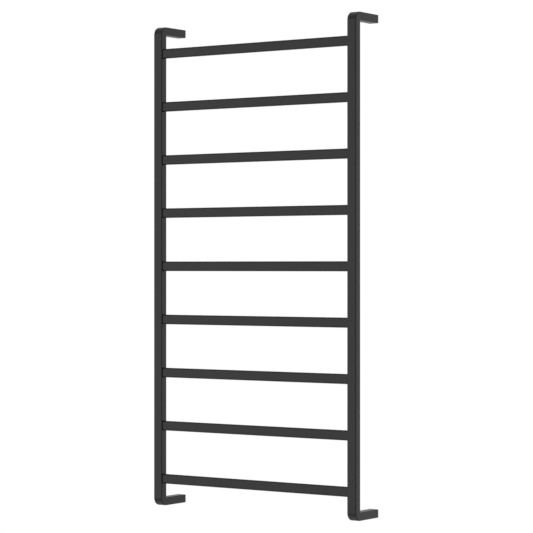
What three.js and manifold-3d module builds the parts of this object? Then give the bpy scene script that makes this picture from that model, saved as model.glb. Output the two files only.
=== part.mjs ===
// Wall-hung electric towel warmer rack.
//
// Two rectangular steel rails turn back to the wall at the top and at the bottom. Nine flat hollow
// bars run between them, each end passing through a slot in the rail's inner wall into a moulded
// collar that holds it there. A block on the wall fills each arm's open end and a grub screw locks
// the arm to it. One heating cable runs through the bars and the rails from end to end.
//
// Millimetres. X runs across the rack, +Z is up, and the wall is the plane Y = 0, with the rack on
// its -Y side. The origin is on the wall, half way up and half way across.

import * as THREE from 'three';
import { mergeVertices } from 'three/addons/utils/BufferGeometryUtils.js';
import Module from 'manifold-3d';

const wasm = await Module();
wasm.setup();

// ---------------------------------------------------------------------------------------------
// Driving dimensions
// ---------------------------------------------------------------------------------------------

// The rack as a whole.
const overallWidth = 600;
const overallHeight = 1200;
const overallDepth = 100;

// The rails: a rectangular tube, bent square at the top and at the bottom.
const railWidth = 25;
const railDepth = 20;
const railWall = 1.5;
const railEdgeRadius = 2;
const bendOuterRadius = 20;
const bendInnerRadius = 1;
const armWallGap = 0.5;

// The bars: a flat tube on edge. They are spaced evenly between the two end margins, and stand
// back from the rails' front faces by the recess.
const barCount = 9;
const barHeight = 24;
const barDepth = 10;
const barWall = 1.2;
const barEdgeRadius = 4;
const barRecess = 3;
const barInsertion = 5;
const endMargin = 68;

// The collars inside the rails that the bars' ends stand in.
const collarThickness = 3;
const collarRim = 3.5;
const collarEdgeRadius = 1.5;

// The blocks on the wall, with a screw hole and a cable way side by side.
const bracketLength = 20;
const bracketEdgeRadius = 1.5;
const bracketSideWall = 1.2;
const wallScrewHole = 5;
const wallScrewHeadHole = 8.6;
const wallScrewHeadDepth = 6;
const cableWay = 8.6;

// The grub screws that lock the arms to the blocks.
const grubDiameter = 4;
const grubLength = 4.5;
const grubRecess = 0.4;
const grubWallDistance = 10;
const grubSocketAcross = 2;
const grubSocketDepth = 2;

// The heating cable and what ends it.
const cableDiameter = 4.5;
const cableWallClearance = 2.25;
const cableTail = 2;
const endSealDiameter = 6.6;
const endSealLength = 14;
const endSealCap = 2;
const cutoutDiameter = 7;
const cutoutLength = 16;
const cutoutNeck = 3;

// The wiring inside the lower right arm.
const leadDiameter = 4;
const leadTurnRadius = 10;
const poleCount = 3;
const polePitch = 5;
const terminalLength = 16;
const terminalHeight = 11;
const terminalEdgeRadius = 1;
const terminalWallDistance = 40;
const wireHole = 2.6;
const terminalScrewDiameter = 2.8;
const terminalScrewLength = 3.5;
const terminalScrewWell = 3.4;
const terminalSlotWidth = 0.6;
const terminalSlotDepth = 0.8;
const earthTabThickness = 0.8;
const earthTabWidth = 6.3;
const earthTabFoot = 8;
const earthTabReach = 6;
const earthTabWallDistance = 26;
const earthLeadDiameter = 2.4;
const grommetBore = 6.2;
const grommetFlangeLip = 0.5;
const grommetFlangeThickness = 1.2;

// Clearances: pieces that fit together keep this gap, and cutters run past the faces they cut.
const fit = 0.3;
const overrun = 2;

// Fineness of the round stretches.
const bendSegments = 12;
const edgeSegments = 3;
const holeSegments = 20;
const cableSides = 8;
const turnSegments = 3;

// ---------------------------------------------------------------------------------------------
// Places worked out from the driving dimensions
// ---------------------------------------------------------------------------------------------

const top = overallHeight / 2;
const railCentreX = (overallWidth - railWidth) / 2;
const railCentreY = -overallDepth + railDepth / 2;
const barCentreY = -overallDepth + barRecess + barDepth / 2;
const innerFaceX = railCentreX - railWidth / 2;
const armAxisZ = top - railDepth / 2;
const barPitch = (overallHeight - 2 * endMargin) / (barCount - 1);
const barLength = 2 * (innerFaceX + barInsertion);
const cableTurnRadius = railWidth - barInsertion - railWall - cableDiameter / 2 - cableWallClearance;
const bracketWidth = railWidth - 2 * (railWall + fit);
const bracketHeight = railDepth - 2 * (railWall + fit);
const bracketHoleOffset = bracketWidth / 2 - bracketSideWall - wallScrewHeadHole / 2;
const terminalWidth = poleCount * polePitch;
const terminalOffset = railWidth / 2 - railWall - fit - terminalWidth / 2;
const barHeights = Array.from({ length: barCount }, (_, i) => top - endMargin - i * barPitch);

// ---------------------------------------------------------------------------------------------
// Finishes
// ---------------------------------------------------------------------------------------------

function finish(color, roughness, metalness) {
  return () => new THREE.MeshStandardMaterial({ color, roughness, metalness });
}

const blackCoat = finish(0x232324, 0.55, 0.1);
const blackRubber = finish(0x0b0b0b, 0.8, 0);
const zincBlock = finish(0x8c8f93, 0.45, 0.9);
const blackSteel = finish(0x17181a, 0.4, 0.8);
const redSilicone = finish(0x8e2f26, 0.6, 0);
const whiteNylon = finish(0xe6e4dc, 0.5, 0);
const brightSteel = finish(0xb9bcc0, 0.35, 1);
const greenYellow = finish(0x6d9a2c, 0.6, 0);

// ---------------------------------------------------------------------------------------------
// Shapes
// ---------------------------------------------------------------------------------------------

// Points of a circular arc about (u, v), from one angle to another.
function arcPoints(u, v, radius, from, to, segments) {
  return Array.from({ length: segments + 1 }, (_, i) => {
    const angle = from + (to - from) * i / segments;
    return new THREE.Vector2(u + radius * Math.cos(angle), v + radius * Math.sin(angle));
  });
}

// A rectangle about (0, 0) with its corners rounded.
function roundedRectangle(width, height, radius, segments = edgeSegments) {
  const u = width / 2 - radius;
  const v = height / 2 - radius;
  const quarter = Math.PI / 2;
  return new THREE.Shape([
    ...arcPoints(u, v, radius, 0, quarter, segments),
    ...arcPoints(-u, v, radius, quarter, 2 * quarter, segments),
    ...arcPoints(-u, -v, radius, 2 * quarter, 3 * quarter, segments),
    ...arcPoints(u, -v, radius, 3 * quarter, 4 * quarter, segments),
  ]);
}

// A rounded rectangle with another as its hole.
function ringBetween(outer, hole) {
  outer.holes.push(hole);
  return outer;
}

// A plain extrusion of a shape, from 0 to length along its own Z.
function extrude(shape, length) {
  return new THREE.ExtrudeGeometry(shape, { depth: length, bevelEnabled: false });
}

// Turn an extrusion so that the shape lies in the YZ plane and the length runs along +X.
function alongX(geometry) {
  const turn = new THREE.Matrix4();
  turn.makeBasis(new THREE.Vector3(0, 1, 0), new THREE.Vector3(0, 0, 1), new THREE.Vector3(1, 0, 0));
  return geometry.applyMatrix4(turn);
}

// Turn an extrusion so that the shape lies in the XZ plane and the length runs off the wall, -Y.
function offWall(geometry) {
  const turn = new THREE.Matrix4();
  turn.makeBasis(new THREE.Vector3(1, 0, 0), new THREE.Vector3(0, 0, 1), new THREE.Vector3(0, -1, 0));
  return geometry.applyMatrix4(turn);
}

// An upright cylinder from z = 0 to z = length.
function uprightCylinder(diameter, length, segments = holeSegments) {
  const cylinder = new THREE.CylinderGeometry(diameter / 2, diameter / 2, length, segments);
  return cylinder.rotateX(Math.PI / 2).translate(0, 0, length / 2);
}

// A cylinder that runs off the wall, from y = 0 to y = -length.
function cylinderOffWall(diameter, length) {
  return uprightCylinder(diameter, length).rotateX(Math.PI / 2);
}

// A three.js geometry as a solid that can be cut and joined, and back again.
function solid(geometry) {
  const bare = geometry.clone();
  bare.deleteAttribute('normal');
  bare.deleteAttribute('uv');
  const merged = mergeVertices(bare, 1e-4);
  return new wasm.Manifold(new wasm.Mesh({
    numProp: 3,
    vertProperties: new Float32Array(merged.attributes.position.array),
    triVerts: new Uint32Array(merged.index.array),
  }));
}

function geometryOf(manifold) {
  const mesh = manifold.getMesh();
  const geometry = new THREE.BufferGeometry();
  geometry.setAttribute('position', new THREE.BufferAttribute(mesh.vertProperties, 3));
  geometry.setIndex(new THREE.BufferAttribute(mesh.triVerts, 1));
  geometry.computeVertexNormals();
  return geometry;
}

// A body with every cutter taken out of it.
function cut(body, cutters) {
  return geometryOf(cutters.reduce((rest, cutter) => rest.subtract(solid(cutter)), solid(body)));
}

// A run of straight stretches with rounded corners, as a curve that steps from point to point.
class Route extends THREE.Curve {
  constructor(corners, radius) {
    super();
    const points = corners.slice(1, -1).flatMap((corner, i) => {
      const back = corners[i].clone().sub(corner).normalize();
      const ahead = corners[i + 2].clone().sub(corner).normalize();
      const centre = corner.clone().addScaledVector(back, radius).addScaledVector(ahead, radius);
      return Array.from({ length: turnSegments + 1 }, (_, step) => {
        const angle = Math.PI / 2 * step / turnSegments;
        const point = centre.clone().addScaledVector(ahead, -radius * Math.cos(angle));
        return point.addScaledVector(back, -radius * Math.sin(angle));
      });
    });
    this.points = [corners[0], ...points, corners.at(-1)];
  }

  getPoint(t, target = new THREE.Vector3()) {
    const place = t * (this.points.length - 1);
    const index = Math.min(Math.floor(place), this.points.length - 2);
    return target.lerpVectors(this.points[index], this.points[index + 1], place - index);
  }

  getUtoTmapping(u) {
    return u;
  }
}

// A round cable along a curve.
function cableAlong(curve, diameter, steps) {
  const circle = arcPoints(0, 0, diameter / 2, 0, 2 * Math.PI, cableSides).slice(0, -1);
  return new THREE.ExtrudeGeometry(new THREE.Shape(circle), { extrudePath: curve, steps });
}

// ---------------------------------------------------------------------------------------------
// Pieces
// ---------------------------------------------------------------------------------------------

// The side view of a rail, shrunk by inset: a C that is open towards the wall and runs past it.
function railOutline(inset) {
  const front = -overallDepth + inset;
  const rear = -overallDepth + railDepth - inset;
  const crown = top - inset;
  const underside = top - railDepth + inset;
  const outer = Math.max(bendOuterRadius - inset, bendInnerRadius);
  const inner = bendInnerRadius + inset;
  const pastWall = overrun + inset;
  const quarter = Math.PI / 2;
  return new THREE.Shape([
    new THREE.Vector2(pastWall, crown),
    ...arcPoints(front + outer, crown - outer, outer, quarter, 2 * quarter, bendSegments),
    ...arcPoints(front + outer, outer - crown, outer, 2 * quarter, 3 * quarter, bendSegments),
    new THREE.Vector2(pastWall, -crown),
    new THREE.Vector2(pastWall, -underside),
    ...arcPoints(rear + inner, inner - underside, inner, -quarter, -2 * quarter, edgeSegments),
    ...arcPoints(rear + inner, underside - inner, inner, 2 * quarter, quarter, edgeSegments),
    new THREE.Vector2(pastWall, underside),
  ]);
}

// The outline of a bar with the fitting gap round it.
function barClearance() {
  return roundedRectangle(barDepth + 2 * fit, barHeight + 2 * fit, barEdgeRadius + fit);
}

// A rail about its own mid-plane. side is +1 for the right rail, whose slots face -X.
function railGeometry(side) {
  const skin = new THREE.ExtrudeGeometry(railOutline(0), {
    depth: railWidth - 2 * railEdgeRadius,
    bevelThickness: railEdgeRadius,
    bevelSize: railEdgeRadius,
    bevelOffset: -railEdgeRadius,
    bevelSegments: edgeSegments,
  });
  skin.translate(0, 0, -railWidth / 2 + railEdgeRadius);
  const hollowWidth = railWidth - 2 * railWall;
  const hollow = extrude(railOutline(railWall), hollowWidth).translate(0, 0, -hollowWidth / 2);
  const cutEnd = new THREE.BoxGeometry(2 * railWidth, 4 * overrun, 2 * overallHeight);
  cutEnd.translate(0, 2 * overrun - armWallGap, 0);
  const slotLength = railWall + 2 * overrun;
  const slots = barHeights.map((height) => {
    const slot = alongX(extrude(barClearance(), slotLength));
    return slot.translate(-side * (railWidth - railWall) / 2 - slotLength / 2, barCentreY, height);
  });
  const grubHoles = [armAxisZ, -armAxisZ].map((axis) => {
    const hole = uprightCylinder(grubDiameter + 2 * fit, railWall + 2 * overrun);
    return hole.translate(0, -grubWallDistance, axis - railDepth / 2 - overrun);
  });
  return cut(alongX(skin), [alongX(hollow), cutEnd, ...slots, ...grubHoles]);
}

// A bar about its own middle.
function barGeometry() {
  const outer = roundedRectangle(barDepth, barHeight, barEdgeRadius);
  const innerRadius = Math.max(barEdgeRadius - barWall, fit);
  const hollow = roundedRectangle(barDepth - 2 * barWall, barHeight - 2 * barWall, innerRadius);
  return alongX(extrude(ringBetween(outer, hollow), barLength)).translate(-barLength / 2, 0, 0);
}

// A collar about the bar's middle line, its flat face towards the rail's inner wall at x = 0. It
// fills the rail from front to rear, so its opening stands off its own middle.
function collarGeometry() {
  const depth = railDepth - 2 * (railWall + fit);
  const outline = roundedRectangle(depth, barHeight + 2 * collarRim, collarEdgeRadius);
  const body = extrude(outline, collarThickness).translate(railCentreY - barCentreY, 0, 0);
  const bore = extrude(barClearance(), collarThickness + 2 * overrun).translate(0, 0, -overrun);
  return alongX(cut(body, [bore]));
}

// A wall block about its arm's axis, from the wall outwards.
function bracketGeometry() {
  const outline = roundedRectangle(bracketWidth, bracketHeight, bracketEdgeRadius);
  const block = offWall(extrude(outline, bracketLength));
  const through = bracketLength + 2 * overrun;
  const screwHole = cylinderOffWall(wallScrewHole, through);
  const headHole = cylinderOffWall(wallScrewHeadHole, wallScrewHeadDepth + overrun);
  const wiringHole = cylinderOffWall(cableWay, through);
  const seatTop = -railDepth / 2 + grubRecess + grubLength + fit;
  const grubSeat = uprightCylinder(grubDiameter + 2 * fit, seatTop + railDepth / 2);
  return cut(block, [
    screwHole.translate(-bracketHoleOffset, overrun, 0),
    headHole.translate(-bracketHoleOffset, wallScrewHeadDepth - bracketLength, 0),
    wiringHole.translate(bracketHoleOffset, overrun, 0),
    grubSeat.translate(0, -grubWallDistance, -railDepth / 2),
  ]);
}

// A grub screw standing on z = 0, with its hexagon socket underneath.
function grubGeometry() {
  const socketDiameter = grubSocketAcross / Math.cos(Math.PI / 6);
  const socket = uprightCylinder(socketDiameter, grubSocketDepth + overrun, 6);
  return cut(uprightCylinder(grubDiameter, grubLength), [socket.translate(0, 0, -overrun)]);
}

// The heating cable: up the right rail, then to and fro through the bars to the top of the left.
function heatingCableCorners() {
  const turnX = innerFaceX + barInsertion + cableTurnRadius;
  const corner = (x, z) => new THREE.Vector3(x, barCentreY, z);
  const runs = barHeights.toReversed().flatMap((height, i) => {
    const from = i % 2 === 0 ? turnX : -turnX;
    return [corner(from, height), corner(-from, height)];
  });
  const start = corner(turnX, barHeights.at(-1) - cableTurnRadius - cableTail);
  const lastX = runs.at(-1).x;
  const end = corner(lastX, barHeights[0] + cableTurnRadius + cableTail);
  return [start, ...runs, end];
}

function heatingCableGeometry(corners) {
  const route = new Route(corners, cableTurnRadius);
  return cableAlong(route, cableDiameter, route.points.length - 1);
}

// A moulded cap over the cable's far end, standing on z = 0.
function endSealGeometry() {
  const radius = endSealDiameter / 2;
  const profile = [
    new THREE.Vector2(0, 0),
    new THREE.Vector2(radius, 0),
    new THREE.Vector2(radius, endSealLength - endSealCap),
    new THREE.Vector2(radius - endSealCap, endSealLength),
    new THREE.Vector2(0, endSealLength),
  ];
  return new THREE.LatheGeometry(profile, holeSegments).rotateX(Math.PI / 2);
}

// The thermal cut-out: a sleeve with a narrower neck at each end, standing on z = 0.
function cutoutGeometry() {
  const neckRadius = cableDiameter / 2;
  const radius = cutoutDiameter / 2;
  const profile = [
    new THREE.Vector2(0, 0),
    new THREE.Vector2(neckRadius, 0),
    new THREE.Vector2(radius, cutoutNeck),
    new THREE.Vector2(radius, cutoutLength - cutoutNeck),
    new THREE.Vector2(neckRadius, cutoutLength),
    new THREE.Vector2(0, cutoutLength),
  ];
  return new THREE.LatheGeometry(profile, holeSegments).rotateX(Math.PI / 2);
}

// The lead from the cut-out down the rail and along the arm to the terminal block.
function coldLeadGeometry(start, end) {
  const route = new Route([start, new THREE.Vector3(start.x, start.y, end.z), end], leadTurnRadius);
  return cableAlong(route, leadDiameter, route.points.length - 1);
}

// The terminal block about the arm's axis, from y = 0 to y = -terminalLength.
function terminalBlockGeometry() {
  const outline = roundedRectangle(terminalWidth, terminalHeight, terminalEdgeRadius);
  const block = offWall(extrude(outline, terminalLength));
  const cutters = poleOffsets().flatMap((offset) => [
    cylinderOffWall(wireHole, terminalLength + 2 * overrun).translate(offset, overrun, 0),
    uprightCylinder(terminalScrewWell, terminalHeight).translate(offset, -terminalLength / 2, 0),
  ]);
  return cut(block, cutters);
}

function poleOffsets() {
  return Array.from({ length: poleCount }, (_, i) => (i - (poleCount - 1) / 2) * polePitch);
}

// A slotted terminal screw standing on z = 0.
function terminalScrewGeometry() {
  const slot = new THREE.BoxGeometry(2 * terminalScrewDiameter, terminalSlotWidth, 2 * terminalSlotDepth);
  slot.translate(0, 0, terminalScrewLength);
  return cut(uprightCylinder(terminalScrewDiameter, terminalScrewLength), [slot]);
}

// The earth tab: a foot along the arm's side wall and a blade square to it. The origin is on the
// outer face of the foot, at its end nearest the wall.
function earthTabGeometry() {
  const thickness = earthTabThickness;
  const bladeFront = -(earthTabFoot - thickness) / 2;
  const outline = new THREE.Shape([
    new THREE.Vector2(0, 0),
    new THREE.Vector2(-thickness, 0),
    new THREE.Vector2(-thickness, bladeFront),
    new THREE.Vector2(-earthTabReach, bladeFront),
    new THREE.Vector2(-earthTabReach, bladeFront - thickness),
    new THREE.Vector2(-thickness, bladeFront - thickness),
    new THREE.Vector2(-thickness, -earthTabFoot),
    new THREE.Vector2(0, -earthTabFoot),
  ]);
  return extrude(outline, earthTabWidth).translate(0, 0, -earthTabWidth / 2);
}

// The grommet in the cable way, its flange on the arm side. It starts at the wall, y = 0.
function grommetGeometry() {
  const bore = grommetBore / 2;
  const sleeve = cableWay / 2 - fit;
  const flange = cableWay / 2 + grommetFlangeLip;
  const flangeStart = bracketLength + fit;
  const flangeEnd = flangeStart + grommetFlangeThickness;
  const profile = [
    new THREE.Vector2(bore, fit),
    new THREE.Vector2(sleeve, fit),
    new THREE.Vector2(sleeve, flangeStart),
    new THREE.Vector2(flange, flangeStart),
    new THREE.Vector2(flange, flangeEnd),
    new THREE.Vector2(bore, flangeEnd),
    new THREE.Vector2(bore, fit),
  ];
  return new THREE.LatheGeometry(profile, holeSegments).rotateX(Math.PI);
}

// ---------------------------------------------------------------------------------------------
// Assembly
// ---------------------------------------------------------------------------------------------

function place(group, name, geometry, material, x = 0, y = 0, z = 0) {
  const mesh = new THREE.Mesh(geometry, material());
  mesh.name = name;
  mesh.position.set(x, y, z);
  group.add(mesh);
  return mesh;
}

const rack = new THREE.Group();
const sides = [['left', -1], ['right', 1]];
const levels = [['top', armAxisZ], ['bottom', -armAxisZ]];

for (const [sideName, side] of sides) {
  place(rack, `${sideName}_rail`, railGeometry(side), blackCoat, side * railCentreX);
}

for (const [i, height] of barHeights.entries()) {
  place(rack, `bar_${i + 1}`, barGeometry(), blackCoat, 0, barCentreY, height);
  for (const [sideName, side] of sides) {
    const inside = side > 0 ? 0 : collarThickness;
    const x = side * (innerFaceX + railWall + fit) - inside;
    place(rack, `bar_collar_${sideName}_${i + 1}`, collarGeometry(), blackRubber, x, barCentreY, height);
  }
}

for (const [levelName, axis] of levels) {
  for (const [sideName, side] of sides) {
    const arm = new THREE.Group();
    arm.position.set(side * railCentreX, 0, axis);
    place(arm, `wall_bracket_${levelName}_${sideName}`, bracketGeometry(), zincBlock);
    const grubName = `grub_screw_${levelName}_${sideName}`;
    const grubZ = -railDepth / 2 + grubRecess;
    place(arm, grubName, grubGeometry(), blackSteel, 0, -grubWallDistance, grubZ);
    rack.add(arm);
  }
}

const corners = heatingCableCorners();
const cableStart = corners[0];
const cableEnd = corners.at(-1);
const cutoutBottom = cableStart.z - fit - cutoutLength;
place(rack, 'heating_cable', heatingCableGeometry(corners), redSilicone);
place(rack, 'cable_end_seal', endSealGeometry(), blackRubber, cableEnd.x, cableEnd.y, cableEnd.z + fit);
place(rack, 'thermal_cutout', cutoutGeometry(), whiteNylon, cableStart.x, cableStart.y, cutoutBottom);

const terminalFront = -terminalWallDistance - terminalLength;
const leadStart = new THREE.Vector3(cableStart.x, cableStart.y, cutoutBottom - fit);
const leadEnd = new THREE.Vector3(cableStart.x, terminalFront - fit, -armAxisZ);
place(rack, 'cold_lead', coldLeadGeometry(leadStart, leadEnd), blackRubber);

const wiring = new THREE.Group();
wiring.position.set(railCentreX, 0, -armAxisZ);
place(wiring, 'terminal_block', terminalBlockGeometry(), whiteNylon, terminalOffset, -terminalWallDistance);
for (const [i, offset] of poleOffsets().entries()) {
  const screwX = terminalOffset + offset;
  const screwY = -terminalWallDistance - terminalLength / 2;
  const screwZ = wireHole / 2;
  place(wiring, `terminal_screw_${i + 1}`, terminalScrewGeometry(), brightSteel, screwX, screwY, screwZ);
}
const tabX = railWidth / 2 - railWall - fit;
place(wiring, 'earth_tab', earthTabGeometry(), brightSteel, tabX, -earthTabWallDistance, 0);
const bladeFrontY = -earthTabWallDistance - (earthTabFoot + earthTabThickness) / 2;
const earthLeadLength = bladeFrontY + terminalWallDistance - 2 * fit;
const earthLeadX = terminalOffset + poleOffsets().at(-1);
const earthLead = cylinderOffWall(earthLeadDiameter, earthLeadLength);
place(wiring, 'earth_lead', earthLead, greenYellow, earthLeadX, bladeFrontY - fit, 0);
place(wiring, 'cable_grommet', grommetGeometry(), blackRubber, bracketHoleOffset, 0, 0);
rack.add(wiring);

export default rack;
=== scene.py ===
"""Towel warmer rack: the finished surfaces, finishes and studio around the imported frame."""

import math

import bpy
import bmesh
import numpy as np
from bpy.props import FloatProperty, FloatVectorProperty, PointerProperty
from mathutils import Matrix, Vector


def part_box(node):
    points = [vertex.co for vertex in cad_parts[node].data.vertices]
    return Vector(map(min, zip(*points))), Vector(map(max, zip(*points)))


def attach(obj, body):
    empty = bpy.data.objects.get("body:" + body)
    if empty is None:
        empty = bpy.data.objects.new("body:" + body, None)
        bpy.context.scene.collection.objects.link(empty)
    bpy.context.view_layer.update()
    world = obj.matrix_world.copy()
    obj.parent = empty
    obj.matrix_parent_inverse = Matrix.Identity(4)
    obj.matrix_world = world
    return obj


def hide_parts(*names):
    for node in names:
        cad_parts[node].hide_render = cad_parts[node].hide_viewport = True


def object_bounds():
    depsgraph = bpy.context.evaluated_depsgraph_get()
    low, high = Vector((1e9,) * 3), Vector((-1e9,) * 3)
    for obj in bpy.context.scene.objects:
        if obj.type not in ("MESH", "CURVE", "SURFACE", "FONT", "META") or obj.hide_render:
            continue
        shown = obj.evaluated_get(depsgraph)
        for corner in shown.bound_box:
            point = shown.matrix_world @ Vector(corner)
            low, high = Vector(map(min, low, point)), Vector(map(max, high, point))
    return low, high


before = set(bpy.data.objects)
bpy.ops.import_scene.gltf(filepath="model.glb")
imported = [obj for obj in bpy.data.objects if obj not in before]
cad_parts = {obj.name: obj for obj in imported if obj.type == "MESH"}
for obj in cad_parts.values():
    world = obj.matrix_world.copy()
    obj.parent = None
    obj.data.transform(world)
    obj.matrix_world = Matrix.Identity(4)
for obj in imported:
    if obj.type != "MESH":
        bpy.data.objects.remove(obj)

bl_info = {
    "name": "Towel Warmer Rack",
    "version": (1, 0, 0),
    "blender": (4, 5, 0),
    "location": "View3D > Sidebar > Towel Rack",
    "description": "Builds the surfaces and finishes of a wall-hung electric towel rack",
    "category": "Add Mesh",
}

CAD_BOX = [list(corner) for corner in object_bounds()]
SIDES = {"left": -1.0, "right": 1.0}
LEVELS = {"top": 1.0, "bottom": -1.0}
BAR_COUNT = sum(name.startswith("bar_") and name[4:].isdigit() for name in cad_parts)
BAR_NUMBERS = range(1, 1 + BAR_COUNT)
BODY = "root"
X_AXIS, Y_AXIS, Z_AXIS = np.eye(3)
LEAST_RADIUS = 0.0003
CORNER_STEPS = 6

# ---------------------------------------------------------------------------------------------
# Places read from the frame, in metres
# ---------------------------------------------------------------------------------------------


def corners(node):
    """Lowest and highest corner of a CAD node, as arrays."""
    low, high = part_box(node)
    return np.array(low), np.array(high)


RAIL_LOW, RAIL_HIGH = corners("right_rail")
BAR_BOXES = {number: corners(f"bar_{number}") for number in BAR_NUMBERS}
BAR_CENTRES = {number: (low + high) / 2 for number, (low, high) in BAR_BOXES.items()}
BAR_SIZE = BAR_BOXES[1][1] - BAR_BOXES[1][0]
FRONT = RAIL_LOW[1]
RAIL_TOP = RAIL_HIGH[2]
RAIL_WIDTH = RAIL_HIGH[0] - RAIL_LOW[0]
RAIL_DEPTH = 2 * (RAIL_TOP - sum(corners("wall_bracket_top_right"))[2] / 2)
RAIL_X = (RAIL_LOW[0] + RAIL_HIGH[0]) / 2
INNER_FACE = RAIL_LOW[0]
ARM_Z = RAIL_TOP - RAIL_DEPTH / 2

# Bearing from straight ahead towards the right and height, both in degrees; distance, width; watts.
SOFT_BOXES = {
    "front_left_box": (-38.0, 0.0, 6.0, 4.5, 38.0),
    "back_right_box": (144.0, 0.0, 6.0, 4.5, 20.0),
    "back_left_box": (-146.0, 0.0, 6.0, 4.0, 5.0),
    "overhead_box": (-90.0, 75.0, 5.0, 4.0, 10.0),
    "under_box": (-60.0, -60.0, 6.0, 4.0, 19.0),
}

# ---------------------------------------------------------------------------------------------
# Sizes and colours a user may change
# ---------------------------------------------------------------------------------------------


def length(name, description, default):
    """A length in metres that a user may change."""
    return FloatProperty(name=name, description=description, default=default, min=0, unit="LENGTH",
                         precision=5)


def colour(name, description, default):
    """A colour that a user may change."""
    return FloatVectorProperty(name=name, description=description, default=default, subtype="COLOR",
                               size=3, min=0, max=1)


class TowelRackSizes(bpy.types.PropertyGroup):
    """Walls, radii, holes and gaps that the frame's boxes don't give"""
    rail_wall: length("Rail wall", "Wall thickness of the rails", 0.0015)
    rail_edge: length("Rail edge radius", "Radius along the rails' long edges", 0.002)
    bend_radius: length("Bend radius", "Outer radius of the rails' bends", 0.020)
    bend_inner: length("Inner bend radius", "Radius in the inner corner of the bends", 0.001)
    bar_wall: length("Bar wall", "Wall thickness of the bars", 0.0012)
    bar_edge: length("Bar edge radius", "Radius along the bars' long edges", 0.004)
    running_gap: length("Fitting gap", "Gap between pieces that fit together", 0.0003)
    collar_edge: length("Collar edge radius", "Radius round the collars' outer corners", 0.0015)
    collar_lip: length("Collar lip", "Radius along the edges of a collar's two faces", 0.0004)
    slot_lip: length("Slot lip", "Radius round the mouths of slots and holes", 0.0002)
    block_edge: length("Block edge radius", "Radius round the wall blocks' two faces", 0.0006)
    block_corner: length("Block corner radius", "Radius of the wall blocks' four corners", 0.0015)
    screw_hole: length("Screw hole", "Diameter of a wall block's screw hole", 0.005)
    head_hole: length("Head hole", "Diameter of the wider hole for the screw's head", 0.0086)
    head_depth: length("Head depth", "How deep the screw's head lies in the block", 0.006)
    cable_way: length("Cable way", "Diameter of the hole for the supply cable", 0.0086)
    hole_offset: length("Hole offset", "From a block's middle to the axis of either hole", 0.0052)
    thread_pitch: length("Thread pitch", "Pitch of the grub screws' thread", 0.0007)
    cable_turn: length("Cable turn radius", "Radius of the heating cable's turns", 0.014)
    lead_turn: length("Lead turn radius", "Radius of the cold lead's bend", 0.010)
    cap_crown: length("Cap crown", "Radius round the top of the cable's end cap", 0.002)
    cutout_shoulder: length("Cut-out shoulder", "Length over which the cut-out swells", 0.003)


class TowelRackFinish(bpy.types.PropertyGroup):
    """Colours of the rack's materials and the texture of its coat"""
    coat: colour("Powder coat", "Matte black powder coat", (0.012, 0.012, 0.012))
    coat_roughness: FloatProperty(name="Coat roughness", description="Roughness of the powder coat",
                                  default=0.28, min=0, max=1, subtype="FACTOR")
    peel_size: length("Orange peel size", "Width of the coat's orange-peel waves", 0.0016)
    peel_height: length("Orange peel height", "Height of the coat's waves and grain", 0.00011)
    grain_size: length("Grain size", "Width of the coat's fine grain", 0.00035)
    drift_size: length("Drift size", "Width of the slow changes in the coat's tone", 0.09)
    speck_spacing: length("Speck spacing", "Distance between sunken specks in the coat", 0.011)
    rubber: colour("Collar rubber", "Black moulded rubber", (0.006, 0.006, 0.006))
    zinc: colour("Cast zinc", "Bare die-cast zinc of the wall blocks", (0.34, 0.35, 0.36))
    oxide: colour("Black oxide", "Blackened steel of the grub screws", (0.03, 0.03, 0.033))
    silicone: colour("Red silicone", "Sheath of the heating cable", (0.28, 0.03, 0.02))
    nylon: colour("White nylon", "Nylon of the terminal block and the cut-out", (0.76, 0.74, 0.69))
    plated: colour("Plated steel", "Bright plated steel of the terminals", (0.55, 0.55, 0.56))
    earth: colour("Earth sheath", "Green of the earth lead's sheath", (0.10, 0.32, 0.02))
    earth_stripe: colour("Earth stripe", "Yellow of the earth lead's sheath", (0.75, 0.55, 0.02))
    stripe_width: length("Stripe width", "Width of the stripes on the earth lead", 0.0015)


class TowelRackStage(bpy.types.PropertyGroup):
    """Where the camera stands, its lens, the floor and the room's light"""
    view_angle: FloatProperty(name="View angle", description="How far to the right the camera is",
                              default=math.radians(34.8), subtype="ANGLE")
    view_distance: length("View distance", "From the camera to the rack's front plane", 5.127)
    view_aim: length("View aim", "How far to the right of the middle the camera aims", 0.0364)
    lens: FloatProperty(name="Lens", description="Focal length on a 36 mm sensor", default=142.6,
                        min=1)
    view_level: FloatProperty(name="View level", description="Height of the camera and its aim",
                              default=-0.0005, unit="LENGTH", precision=5)
    floor_drop: length("Floor drop", "From the rack's lowest point down to the floor", 0.45)
    ambient: FloatProperty(name="Ambient light", description="Brightness of the room's own light",
                           default=0.44, min=0)


# ---------------------------------------------------------------------------------------------
# Surfaces
# ---------------------------------------------------------------------------------------------


def grid_faces(rows, columns, wrap_rows=False, wrap_columns=True):
    """Quads between neighbours on a rows x columns grid whose vertices are numbered row by row."""
    row, column = np.meshgrid(np.arange(rows if wrap_rows else rows - 1),
                              np.arange(columns if wrap_columns else columns - 1), indexing="ij")
    below, beside = (row + 1) % rows, (column + 1) % columns
    return np.stack([row * columns + column, row * columns + beside,
                     below * columns + beside, below * columns + column], axis=-1)


def as_part(grid, wrap_rows=False, wrap_columns=True, keep=None):
    """A (rows, columns, 3) grid as (vertices, quads), without the quads that keep rules out."""
    quads = grid_faces(*grid.shape[:2], wrap_rows, wrap_columns)
    chosen = quads.reshape(-1, 4) if keep is None else quads[keep]
    return grid.reshape(-1, 3), chosen


def disc_part(ring):
    """A fan that closes a ring of points over its own middle."""
    count = len(ring)
    centre = ring.mean(axis=0, keepdims=True)
    around = np.arange(count)
    hub = np.full(count, count)
    fan = np.stack([around, (around + 1) % count, hub, hub], axis=-1)
    return np.vstack([ring, centre]), fan


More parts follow.
